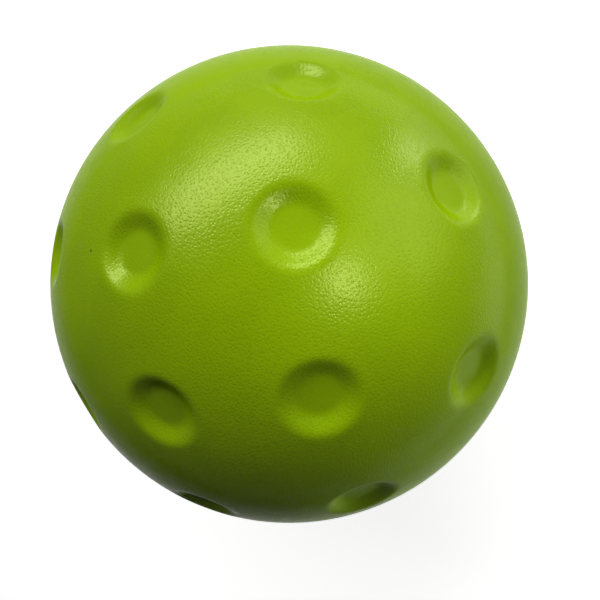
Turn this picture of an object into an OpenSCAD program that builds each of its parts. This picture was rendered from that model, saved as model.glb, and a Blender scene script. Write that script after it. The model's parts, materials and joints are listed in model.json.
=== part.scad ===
// Foam pickleball: a soft foam ball with a dense moulded skin and blind dimples where a hard ball has holes.
// The origin is the centre of the ball, and +Z is up, through the pole of the upper half. Millimetres.

/* [Ball] */
// Outside diameter of the ball
ball_d = 74; // [66:0.5:82]
// Thickness of the dense outer skin
skin_t = 0.8; // [0.4:0.1:1.2]

/* [Dimple] */
// Diameter of the flat floor
floor_d = 3.9; // [3:0.1:5]
// Depth of the floor below the round of the ball
dimple_depth = 1.15; // [0.9:0.05:1.5]
// Slope of the wall against the floor, in degrees
wall_slope = 26; // [20:1:30]
// Radius of the fillet between floor and wall
floor_r = 2.2; // [1.2:0.1:3.4]
// Radius of the rounded rim
rim_r = 2; // [1.4:0.1:3]

/* [Layout] */
// Angle from a half's pole to its inner ring of dimples
inner_ring_a = 19.5; // [17:0.5:22]
// Angle from a half's pole to its middle ring of dimples
middle_ring_a = 47.5; // [44:0.5:52]
// Angle from a half's pole to its outer ring of dimples
outer_ring_a = 81; // [76:0.5:81.5]
// Turn of the lower half against the upper half, which staggers their outer rings
stagger_a = 22.5; // [16:0.5:29]

/* [Hidden] */

ball_r = ball_d / 2;
floor_flat_r = floor_d / 2;
// How far a round stands past the faces that it blends, so that they cross cleanly
blend = 0.005;
// How far a dimple's cutter reaches out of the ball
cutter_reach = 1;
// Turn of a cutter about its own axis, which keeps its start line off the planes of the frame
cutter_turn_a = 35;
// Turn of the ball about its poles, which keeps its start line between the dimples
ball_turn_a = 11;

// Dimples in each ring of a half, and the turn of each ring about the pole
ring_angles = [inner_ring_a, middle_ring_a, outer_ring_a];
ring_counts = [4, 8, 8];
ring_turns = [45, 22.5, 0];

// A dimple's section, with its axis as Y and the round of the ball at the origin
wall_dir = [cos(wall_slope), sin(wall_slope)];
wall_normal = [sin(wall_slope), -cos(wall_slope)];
ball_centre = [0, -ball_r];
floor_arc_centre = [floor_flat_r, floor_r - dimple_depth];

// The rim's centre lies off the wall by rim_r, and at rim_orbit from the centre of the ball
rim_orbit = ball_r - rim_r;
rim_start = floor_arc_centre + (floor_r + rim_r) * wall_normal - ball_centre;
rim_along = rim_start * wall_dir;
rim_run = sqrt(rim_along ^ 2 - rim_start * rim_start + rim_orbit ^ 2) - rim_along;
rim_out = (rim_start + rim_run * wall_dir) / rim_orbit;
rim_centre = ball_centre + rim_orbit * rim_out;

skin_colour = [0.53, 0.69, 0.05];
core_colour = [0.62, 0.74, 0.25];

// Hollow of one dimple in a ball that is smaller by inset all round
module dimple_section(inset) {
    floor_y = -dimple_depth - inset;
    wall_start = floor_arc_centre + (floor_r + inset) * wall_normal;
    wall_end = rim_centre - (rim_r - inset) * wall_normal;
    difference() {
        union() {
            polygon([
                [0, floor_y],
                [floor_flat_r, floor_y],
                wall_start,
                wall_end,
                rim_centre,
                ball_centre + (ball_r + cutter_reach) * rim_out,
                [0, cutter_reach]
            ]);
            // The fillet's round, kept off the axis and below the middle of the wall
            intersection() {
                translate(floor_arc_centre)
                    circle(r = floor_r + inset + blend);
                translate([floor_flat_r / 2, -ball_r])
                    square([ball_r, ball_r + (wall_start.y + wall_end.y) / 2]);
            }
        }
        translate(rim_centre)
            circle(r = rim_r - inset + blend);
    }
}

module dimple_cutter(inset) {
    translate([0, 0, ball_r])
        rotate(cutter_turn_a)
            rotate_extrude()
                dimple_section(inset);
}

// Cutters of one half, about a pole on +Z
module half_cutters(inset) {
    for (ring = [0 : len(ring_angles) - 1], place = [1 : ring_counts[ring]])
        rotate([0, ring_angles[ring], ring_turns[ring] + place * 360 / ring_counts[ring]])
            dimple_cutter(inset);
}

// Ball with all its dimples, smaller by inset all round
module dimpled_ball(inset) {
    difference() {
        rotate(ball_turn_a)
            sphere(r = ball_r - inset);
        half_cutters(inset);
        rotate(stagger_a)
            rotate([180, 0, 0])
                half_cutters(inset);
    }
}

// Cellular foam that fills the skin
module foam_core() {
    color(core_colour)
        dimpled_ball(skin_t);
}

// Dense skin of even thickness, closed all round
module skin() {
    color(skin_colour)
        difference() {
            dimpled_ball(0);
            dimpled_ball(skin_t);
        }
}

$fn = 96;

foam_core();
skin();
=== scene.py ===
import json
import math

import bmesh
import bpy
import numpy as np
from mathutils import Matrix, Vector


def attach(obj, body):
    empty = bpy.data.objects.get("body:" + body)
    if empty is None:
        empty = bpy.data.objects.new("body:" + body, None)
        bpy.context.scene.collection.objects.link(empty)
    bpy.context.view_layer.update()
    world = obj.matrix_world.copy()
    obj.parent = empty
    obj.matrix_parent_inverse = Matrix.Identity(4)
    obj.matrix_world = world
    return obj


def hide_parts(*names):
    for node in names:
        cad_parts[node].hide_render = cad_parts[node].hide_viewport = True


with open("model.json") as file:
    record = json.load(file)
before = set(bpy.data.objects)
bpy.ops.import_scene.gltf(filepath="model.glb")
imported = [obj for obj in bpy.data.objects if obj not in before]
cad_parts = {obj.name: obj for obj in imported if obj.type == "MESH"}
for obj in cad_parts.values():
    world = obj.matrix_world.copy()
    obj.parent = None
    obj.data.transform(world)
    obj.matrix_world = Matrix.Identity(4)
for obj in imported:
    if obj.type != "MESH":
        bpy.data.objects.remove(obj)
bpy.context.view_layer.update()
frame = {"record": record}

MM = 0.001

# The ball and its dimples, with the sizes of the CAD model
BALL_R = -frame["record"]["mounts"][0]["pos_m"][2]
SKIN_T = 0.8 * MM
FLOOR_FLAT_R = 1.95 * MM
DIMPLE_DEPTH = 1.15 * MM
WALL_SLOPE = math.radians(26)
FLOOR_R = 2.2 * MM
RIM_R = 2 * MM

# The meshes: subdivisions of the even grid, then halvings of its edges in and just round the dimples
OUTER_GRID = (6, 2)
INNER_GRID = (5, 1)
REACH_MARGIN = 0.3 * MM

# Clearance that keeps the core's mesh off the skin's
CORE_GAP = 0.02 * MM

# Rings of dimples on each half: angle from the pole, count, and turn about the pole
RINGS = ((19.5, 4, 45), (47.5, 8, 22.5), (81, 8, 0))
STAGGER = 22.5

# The photograph: its side, the ball's outline in it, and the distance it was taken from
PHOTO_SIDE = 600
OUTLINE_X = 289.2
OUTLINE_Y = 284.0
OUTLINE_R = 239.0
CAMERA_RADII = 2.2
CAMERA_BACK = Vector((0.2043, 0.0888, 0.9749))
CAMERA_UP = Vector((0.1286, 0.9848, -0.1166))
SENSOR = 36
CLIP_START = 5 * MM

# The skin's look: texture scales in cells per metre, radii and depths in metres
MOTTLE_SCALE = 160
WAVE_SCALE = 240
WAVE_DEPTH = 0.03 * MM
FINE_SCALE = 5200
FINE_DEPTH = 0.002 * MM
PIT_SCALE = 2400
PIT_RADII = (0.02 * MM, 0.19 * MM)
PIT_DEPTH = 0.018 * MM
# Share of painted shade in the pits: how far their colour is darkened where the grain dents the skin
PIT_SHADE_SHARE = 0.12
FLOOR_PIT_SHARE = 0.4
PINHOLE_SCALE = 70
PINHOLE_RADII = (0.08 * MM, 0.22 * MM)
PINHOLE_DEPTH = 0.08 * MM
PINHOLE_PICK = (0.75, 0.77)
GLOSS_FACING = (0.15, 0.65)
GLOSS_LEVELS = (0.65, 0.006)
GLOSS_TINT = (0.87, 1, 0.32, 1)
ROUGHNESS = (0.25, 0.3)

# The core's look
CORE_CELL_SCALE = 1100
CORE_CELL_DEPTH = 0.25 * MM
CORE_ROUGHNESS = 0.85

# The studio: floor and backdrop, as seen and as they light the ball
FLOOR_DISC_R = 1.5
# The floor's colour and glow fade from near to far: a painted pool of light round the ball
FLOOR_FADE = (0.13, 0.25)
FLOOR_PALE = (0.85, 0.12)
FLOOR_GLOW = 0.9
FLOOR_BOUNCE = 0.06
BACKDROP_SEEN = 0.12
BACKDROP_LIGHT = 0.015


def dimple_axes():
    """Unit vectors from the ball's centre through each dimple."""
    axes = []
    for side, turn in ((1, 0), (-1, STAGGER)):
        for from_pole, count, ring_turn in RINGS:
            for place in range(count):
                around = math.radians(turn + ring_turn + place * 360 / count)
                tilt = math.radians(from_pole)
                axes.append((
                    math.sin(tilt) * math.cos(around),
                    math.sin(tilt) * math.sin(around),
                    side * math.cos(tilt),
                ))
    return np.array(axes)


def cross_2d(a, b):
    return a[..., 0] * b[..., 1] - a[..., 1] * b[..., 0]


def dimple_section(inset):
    """Corners of a dimple's section, as distance from its axis and height over the ball's centre."""
    wall_dir = np.array([math.cos(WALL_SLOPE), math.sin(WALL_SLOPE)])
    wall_normal = np.array([math.sin(WALL_SLOPE), -math.cos(WALL_SLOPE)])
    floor_arc = np.array([FLOOR_FLAT_R, BALL_R - DIMPLE_DEPTH + FLOOR_R])
    start = floor_arc + (FLOOR_R + RIM_R) * wall_normal
    along = start @ wall_dir
    run = math.sqrt(along ** 2 - start @ start + (BALL_R - RIM_R) ** 2) - along
    rim_arc = start + run * wall_dir
    return {
        "wall_dir": wall_dir,
        "floor_arc": floor_arc,
        "rim_arc": rim_arc,
        "floor_end": np.array([FLOOR_FLAT_R, BALL_R - DIMPLE_DEPTH - inset]),
        "wall_start": floor_arc + (FLOOR_R + inset) * wall_normal,
        "wall_end": rim_arc - (RIM_R - inset) * wall_normal,
    }


def surface_radius(angle, inset):
    """Distance from the ball's centre to its surface, by the angle from the nearest dimple's axis."""
    part = dimple_section(inset)
    ray = np.stack([np.sin(angle), np.cos(angle)], axis=-1)

    floor = part["floor_end"][1] / ray[:, 1]
    to_arc = ray @ part["floor_arc"]
    arc_drop = to_arc ** 2 - part["floor_arc"] @ part["floor_arc"] + (FLOOR_R + inset) ** 2
    fillet = to_arc - np.sqrt(np.maximum(arc_drop, 0))
    wall = cross_2d(part["wall_start"], part["wall_dir"]) / cross_2d(ray, part["wall_dir"])
    to_rim = ray @ part["rim_arc"]
    rim_rise = to_rim ** 2 - part["rim_arc"] @ part["rim_arc"] + (RIM_R - inset) ** 2
    rim = to_rim + np.sqrt(np.maximum(rim_rise, 0))

    ends = [math.atan2(*part[name]) for name in ("floor_end", "wall_start", "wall_end", "rim_arc")]
    return np.select([angle < end for end in ends], [floor, fillet, wall, rim], BALL_R - inset)


def directions_of(grid):
    """Unit vectors from the ball's centre to the grid's points."""
    points = np.array([vert.co[:] for vert in grid.verts])
    return points / np.linalg.norm(points, axis=1, keepdims=True)


def dimple_angle(directions):
    """Angle of each direction from the axis of the nearest dimple."""
    return np.arccos(np.clip((directions @ dimple_axes().T).max(axis=1), -1, 1))


def dimpled_surface(grid_size, inset):
    """Points, triangles and angles from the nearest dimple of the ball's surface, set back by inset.

    The grid is even over the ball, and its edges are halved over and over in the dimples.
    """
    level, halvings = grid_size
    dimple_reach = math.atan2(*dimple_section(inset)["rim_arc"]) + REACH_MARGIN / BALL_R
    grid = bmesh.new()
    bmesh.ops.create_icosphere(grid, subdivisions=level, radius=1)
    for _ in range(halvings):
        within = dimple_angle(directions_of(grid)) < dimple_reach
        edges = [edge for edge in grid.edges if within[[vert.index for vert in edge.verts]].any()]
        bmesh.ops.subdivide_edges(grid, edges=edges, cuts=1, use_grid_fill=True)
        bmesh.ops.triangulate(grid, faces=grid.faces)
        grid.verts.index_update()
    directions = directions_of(grid)
    triangles = np.array([[vert.index for vert in face.verts] for face in grid.faces])
    grid.free()
    angle = dimple_angle(directions)
    return directions * surface_radius(angle, inset)[:, None], triangles, angle


def make_piece(name, points, triangles, material):
    mesh = bpy.data.meshes.new(name)
    mesh.from_pydata(points, [], triangles)
    mesh.shade_smooth()
    mesh.materials.append(material)
    mesh.update()
    piece = bpy.data.objects.new(name, mesh)
    bpy.context.scene.collection.objects.link(piece)
    return piece


def floor_share_of(angle, inset):
    """1 on a dimple's flat floor, fading to 0 up its fillet."""
    part = dimple_section(inset)
    inner = math.atan2(*part["floor_end"])
    outer = math.atan2(*part["wall_start"])
    step = np.clip((outer - angle) / (outer - inner), 0, 1)
    return step * step * (3 - 2 * step)


class Nodes:
    """The node tree of a material or a world, with short calls to add and join nodes."""

    def __init__(self, owner):
        self.owner = owner
        owner.use_nodes = True
        self.tree = owner.node_tree
        self.tree.nodes.clear()

    def add(self, kind, **settings):
        node = self.tree.nodes.new(kind)
        for key, value in settings.items():
            setattr(node, key, value)
        return node

    def join(self, source, target):
        self.tree.links.new(source, target)

    def noise(self, coords, scale, detail):
        node = self.add("ShaderNodeTexNoise")
        node.inputs["Scale"].default_value = scale
        node.inputs["Detail"].default_value = detail
        self.join(coords, node.inputs["Vector"])
        return node.outputs["Fac"]

    def cells(self, coords, scale):
        node = self.add("ShaderNodeTexVoronoi", feature="F1")
        node.inputs["Scale"].default_value = scale
        self.join(coords, node.inputs["Vector"])
        return node.outputs

    def off_centre(self, coords, cells):
        """Distance along the ball's surface from the middle of a cell."""
        outward = self.vector("NORMALIZE", coords)["Vector"]
        cell_outward = self.vector("NORMALIZE", cells["Position"])["Vector"]
        return self.math("MULTIPLY", self.vector("DISTANCE", outward, cell_outward)["Value"], BALL_R)

    def vector(self, operation, *sources):
        node = self.add("ShaderNodeVectorMath", operation=operation)
        for slot, source in enumerate(sources):
            self.join(source, node.inputs[slot])
        return node.outputs

    def remap(self, source, low, high, out_low, out_high, kind="SMOOTHSTEP"):
        node = self.add("ShaderNodeMapRange", interpolation_type=kind)
        self.join(source, node.inputs["Value"])
        node.inputs["From Min"].default_value = low
        node.inputs["From Max"].default_value = high
        node.inputs["To Min"].default_value = out_low
        node.inputs["To Max"].default_value = out_high
        return node.outputs["Result"]

    def math(self, operation, first, second):
        node = self.add("ShaderNodeMath", operation=operation)
        for slot, value in enumerate((first, second)):
            if isinstance(value, (int, float)):
                node.inputs[slot].default_value = value
            else:
                self.join(value, node.inputs[slot])
        return node.outputs["Value"]

    def blend(self, factor, first, second):
        node = self.add("ShaderNodeMix", data_type="RGBA")
        self.join(factor, node.inputs["Factor"])
        for slot, value in ((6, first), (7, second)):
            if isinstance(value, tuple):
                node.inputs[slot].default_value = (*value, 1)
            else:
                self.join(value, node.inputs[slot])
        return node.outputs[2]

    def bump(self, height, distance, normal=None, invert=False):
        node = self.add("ShaderNodeBump", invert=invert)
        node.inputs["Distance"].default_value = distance
        self.join(height, node.inputs["Height"])
        if normal:
            self.join(normal, node.inputs["Normal"])
        return node.outputs["Normal"]

    def output(self, shader, kind="ShaderNodeOutputMaterial"):
        self.join(shader, self.add(kind).inputs["Surface"])
        return self.owner


def srgb(red, green, blue):
    """Linear colour from 8-bit values as a screen shows them."""
    def linear(value):
        value /= 255
        return value / 12.92 if value <= 0.04045 else ((value + 0.055) / 1.055) ** 2.4
    return (linear(red), linear(green), linear(blue))


def skin_material():
    """Satin moulded foam skin with fine pits, smoother on the dimples' floors; pits and pinholes are
    painted darker as shade.
    """
    nodes = Nodes(bpy.data.materials.new("skin_foam"))
    coords = nodes.add("ShaderNodeTexCoord").outputs["Object"]
    floor_share = nodes.add("ShaderNodeAttribute", attribute_name="floor_share").outputs["Fac"]

    mottle = nodes.noise(coords, MOTTLE_SCALE, 3)
    pits = nodes.cells(coords, PIT_SCALE)
    pit_shape = nodes.remap(nodes.off_centre(coords, pits), *PIT_RADII, 1, 0)
    uneven = nodes.remap(pits["Color"], 0.2, 0.8, 0.5, 1, "LINEAR")
    shallow = nodes.remap(floor_share, 0, 1, 1, FLOOR_PIT_SHARE, "LINEAR")
    grain = nodes.math("MULTIPLY", nodes.math("MULTIPLY", pit_shape, uneven), shallow)
    pores = nodes.cells(coords, PINHOLE_SCALE)
    pore_shape = nodes.remap(nodes.off_centre(coords, pores), *PINHOLE_RADII, 1, 0)
    few = nodes.remap(pores["Color"], *PINHOLE_PICK, 0, 1)
    pinholes = nodes.math("MULTIPLY", pore_shape, few)

    shader = nodes.add("ShaderNodeBsdfPrincipled")
    green = nodes.blend(nodes.remap(mottle, 0.3, 0.7, 0, 1), srgb(151, 189, 0), srgb(157, 195, 0))
    # Painted shade: the pits' colour is darkened towards a darker green, as shade in the dents
    pit_shade = nodes.math("MULTIPLY", grain, PIT_SHADE_SHARE)
    shaded_in_pits = nodes.blend(pit_shade, green, srgb(110, 140, 0))
    # Painted shade: the pinholes' colour is darkened to a dark green, as shade in the holes
    nodes.join(nodes.blend(pinholes, shaded_in_pits, srgb(70, 92, 0)), shader.inputs["Base Color"])
    nodes.join(nodes.remap(mottle, 0.25, 0.75, *ROUGHNESS, "LINEAR"), shader.inputs["Roughness"])
    facing = nodes.add("ShaderNodeLayerWeight").outputs["Facing"]
    nodes.join(nodes.remap(facing, *GLOSS_FACING, *GLOSS_LEVELS), shader.inputs["Specular IOR Level"])
    shader.inputs["Specular Tint"].default_value = GLOSS_TINT
    wave = nodes.bump(nodes.noise(coords, WAVE_SCALE, 2), WAVE_DEPTH)
    fine = nodes.bump(nodes.noise(coords, FINE_SCALE, 2), FINE_DEPTH, wave)
    rough = nodes.bump(grain, PIT_DEPTH, fine, invert=True)
    nodes.join(nodes.bump(pinholes, PINHOLE_DEPTH, rough, invert=True), shader.inputs["Normal"])
    return nodes.output(shader.outputs["BSDF"])


def core_material():
    """Cellular foam, as a cut or a torn skin would show it, with painted shade in the cells' hollows.
    """
    nodes = Nodes(bpy.data.materials.new("core_foam"))
    coords = nodes.add("ShaderNodeTexCoord").outputs["Object"]
    pores = nodes.remap(nodes.cells(coords, CORE_CELL_SCALE)["Distance"], 0.05, 0.5, 0, 1)
    shader = nodes.add("ShaderNodeBsdfPrincipled")
    # Painted shade: the colour is darker in the middle of each cell, where the bump dents it
    nodes.join(nodes.blend(pores, srgb(118, 140, 58), srgb(178, 196, 112)), shader.inputs["Base Color"])
    shader.inputs["Roughness"].default_value = CORE_ROUGHNESS
    nodes.join(nodes.bump(pores, CORE_CELL_DEPTH), shader.inputs["Normal"])
    return nodes.output(shader.outputs["BSDF"])


def build_skin():
    outer, outer_faces, outer_angle = dimpled_surface(OUTER_GRID, 0)
    inner, inner_faces, inner_angle = dimpled_surface(INNER_GRID, SKIN_T)
    points = np.concatenate([outer, inner])
    triangles = np.concatenate([outer_faces, inner_faces[:, ::-1] + len(outer)])
    floor_share = np.concatenate([floor_share_of(outer_angle, 0), floor_share_of(inner_angle, SKIN_T)])
    piece = make_piece("skin_shell", points, triangles, skin_material())
    share = piece.data.attributes.new("floor_share", "FLOAT", "POINT")
    share.data.foreach_set("value", floor_share.astype(np.float32))
    return piece


def build_core():
    points, triangles, _ = dimpled_surface(INNER_GRID, SKIN_T + CORE_GAP)
    return make_piece("core_ball", points, triangles, core_material())


def camera_axes():
    """The camera's right, up and back directions."""
    back = CAMERA_BACK.normalized()
    right = CAMERA_UP.cross(back).normalized()
    return right, back.cross(right), back


def build_camera():
    right, up, back = camera_axes()
    focal = OUTLINE_R * math.sqrt(CAMERA_RADII ** 2 - 1)
    data = bpy.data.cameras.new("camera")
    data.sensor_width = SENSOR
    data.lens = SENSOR * focal / PHOTO_SIDE
    data.shift_x = 0.5 - OUTLINE_X / PHOTO_SIDE
    data.shift_y = OUTLINE_Y / PHOTO_SIDE - 0.5
    data.clip_start = CLIP_START
    camera = bpy.data.objects.new("camera", data)
    bpy.context.scene.collection.objects.link(camera)
    turn = Matrix((right, up, back)).transposed().to_4x4()
    camera.matrix_world = Matrix.Translation(back * CAMERA_RADII * BALL_R) @ turn
    bpy.context.scene.camera = camera


def add_lamp(name, direction, distance, level, size, along=(1, 0, 0), mirrored=True):
    """A soft lamp seen from the ball in a direction (camera's right, up and back), aimed at the ball.

    A level of 1 shows a white surface as about white where the ball is nearest to the lamp.
    A lamp that isn't mirrored gives no highlight.
    """
    axes = camera_axes()
    place = sum((axis * share for axis, share in zip(axes, direction)), Vector()).normalized()
    data = bpy.data.lights.new(name, "AREA")
    data.shape = "RECTANGLE"
    data.size, data.size_y = size
    data.energy = level * math.pi ** 2 * (distance - BALL_R) ** 2
    lamp = bpy.data.objects.new(name, data)
    bpy.context.scene.collection.objects.link(lamp)
    side = sum((axis * share for axis, share in zip(axes, along)), Vector())
    side = (side - place * side.dot(place)).normalized()
    turn = Matrix((side, place.cross(side), place)).transposed().to_4x4()
    lamp.matrix_world = Matrix.Translation(place * distance) @ turn
    lamp.visible_camera = False
    lamp.visible_glossy = mirrored


def sees_background(nodes):
    """1 for what the camera, a reflection or a view through glass shows, 0 for light that bounces."""
    path = nodes.add("ShaderNodeLightPath")
    seen = nodes.math("MAXIMUM", path.outputs["Is Camera Ray"], path.outputs["Is Glossy Ray"])
    return nodes.math("MAXIMUM", seen, path.outputs["Is Transmission Ray"])


def floor_material():
    """Pale floor that takes the ball's shadow, brightest round the ball: its colour and glow fade with
    distance, a painted pool of light.
    """
    nodes = Nodes(bpy.data.materials.new("floor"))
    spread = nodes.vector("LENGTH", nodes.add("ShaderNodeTexCoord").outputs["Object"])["Value"]
    # Painted pool of light: the floor's colour and glow fade with distance from the ball
    pale = nodes.remap(spread, *FLOOR_FADE, *FLOOR_PALE)
    white = nodes.add("ShaderNodeBsdfDiffuse")
    nodes.join(pale, white.inputs["Color"])
    glow = nodes.add("ShaderNodeEmission")
    nodes.join(pale, glow.inputs["Color"])
    glow.inputs["Strength"].default_value = FLOOR_GLOW
    lit_and_glow = nodes.add("ShaderNodeAddShader")
    nodes.join(white.outputs["BSDF"], lit_and_glow.inputs[0])
    nodes.join(glow.outputs["Emission"], lit_and_glow.inputs[1])
    grey = nodes.add("ShaderNodeBsdfDiffuse")
    grey.inputs["Color"].default_value = (FLOOR_BOUNCE, FLOOR_BOUNCE, FLOOR_BOUNCE, 1)
    mix = nodes.add("ShaderNodeMixShader")
    nodes.join(sees_background(nodes), mix.inputs["Fac"])
    nodes.join(grey.outputs["BSDF"], mix.inputs[1])
    nodes.join(lit_and_glow.outputs["Shader"], mix.inputs[2])
    return nodes.output(mix.outputs["Shader"])


def build_floor():
    grid = bmesh.new()
    bmesh.ops.create_circle(grid, cap_ends=True, segments=96, radius=FLOOR_DISC_R)
    mesh = bpy.data.meshes.new("floor")
    grid.to_mesh(mesh)
    grid.free()
    mesh.materials.append(floor_material())
    floor = bpy.data.objects.new("floor", mesh)
    bpy.context.scene.collection.objects.link(floor)
    floor.location.z = -BALL_R


def build_world():
    """Grey backdrop that gives hardly any light of its own."""
    nodes = Nodes(bpy.data.worlds.new("studio"))
    backdrop = nodes.add("ShaderNodeBackground")
    grey = nodes.remap(sees_background(nodes), 0, 1, BACKDROP_LIGHT, BACKDROP_SEEN, "LINEAR")
    nodes.join(grey, backdrop.inputs["Color"])
    bpy.context.scene.world = nodes.output(backdrop.outputs["Background"], "ShaderNodeOutputWorld")


skin = build_skin()
core = build_core()
for piece, node, slot in ((skin, "skin", "skin_foam"), (core, "foam_core", "core_foam")):
    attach(piece, "root")
    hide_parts(node)

build_camera()
build_floor()
build_world()
add_lamp(
    "strip", direction=(-0.37, 0.7, 0.6), distance=0.5, level=0.79, size=(0.54, 0.155),
    along=(0.82, 0.57, 0),
)
add_lamp(
    "top", direction=(0.1, 0.94, 0.2), distance=0.5, level=0.57, size=(0.8, 0.6),
    mirrored=False,
)
add_lamp("panel", direction=(0.72, 0.36, 0.6), distance=0.5, level=0.17, size=(0.3, 0.3))
add_lamp("window", direction=(0.66, 0.71, 0.24), distance=0.225, level=0.12, size=(0.03, 0.055))
add_lamp(
    "near", direction=(0.447, 0.03, 1.675), distance=1.73 * BALL_R, level=0.35,
    size=(0.0105, 0.0105),
)
add_lamp(
    "low", direction=(0.861, -0.497, -0.112), distance=0.14, level=0.75, size=(0.2, 0.014),
    mirrored=False,
)

bpy.context.scene.view_settings.view_transform = "Standard"
